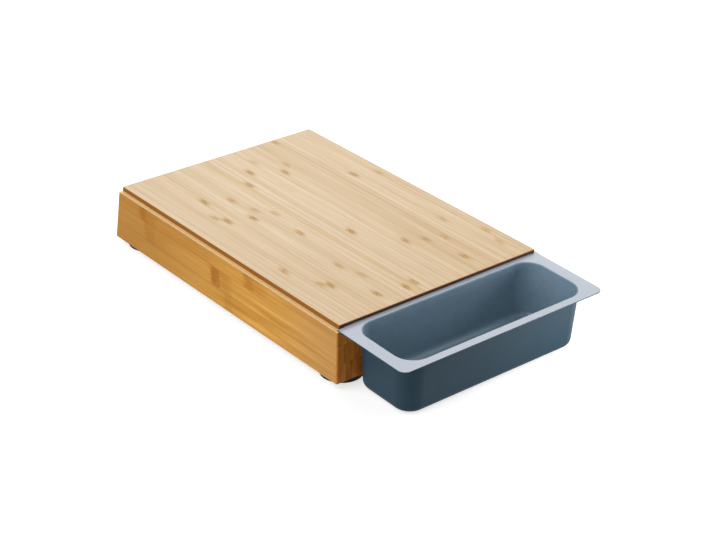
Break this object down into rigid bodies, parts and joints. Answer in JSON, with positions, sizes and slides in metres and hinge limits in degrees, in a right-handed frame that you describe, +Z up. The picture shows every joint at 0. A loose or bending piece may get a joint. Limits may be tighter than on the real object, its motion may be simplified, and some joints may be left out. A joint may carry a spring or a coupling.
{
  "type": "cutting board with tray",
  "caption": "Thick laminated bamboo cutting block on round rubber feet, with a deep blue-grey tray hung by its rear tongue in a slot at one end.",
  "frame": {"origin": "on the surface it stands on, under the middle of the whole object with its tray on", "axes": "+X along the block towards the tray, +Y to the block's left seen from its far end, +Z up"},
  "size_m": [0.5, 0.2742, 0.072],
  "materials": {
    "bamboo_top": "oiled, edge-grain strips",
    "bamboo_middle": "oiled, caramel edge",
    "bamboo_bottom": "oiled, caramel edge",
    "tray_shell": "satin slate blue",
    "foot_rubber": "matt black",
    "washer_steel": "zinc plated",
    "screw_steel": "zinc plated"
  },
  "bodies": {
    "block": {"bottom_board": "bamboo_bottom", "foot_far_end_left": "foot_rubber", "foot_far_end_right": "foot_rubber", "foot_screw_far_end_left": "screw_steel", "foot_screw_far_end_right": "screw_steel", "foot_screw_tray_end_left": "screw_steel", "foot_screw_tray_end_right": "screw_steel", "foot_tray_end_left": "foot_rubber", "foot_tray_end_right": "foot_rubber", "foot_washer_far_end_left": "washer_steel", "foot_washer_far_end_right": "washer_steel", "foot_washer_tray_end_left": "washer_steel", "foot_washer_tray_end_right": "washer_steel", "middle_board": "bamboo_middle", "top_board": "bamboo_top"},
    "tray": {"tray": "tray_shell"}
  },
  "joints": [
    {"name": "tray_pull", "type": "slide", "parent": "block", "child": "tray", "axis": [1, 0, 0], "range_m": [0, 0.014]}
  ]
}
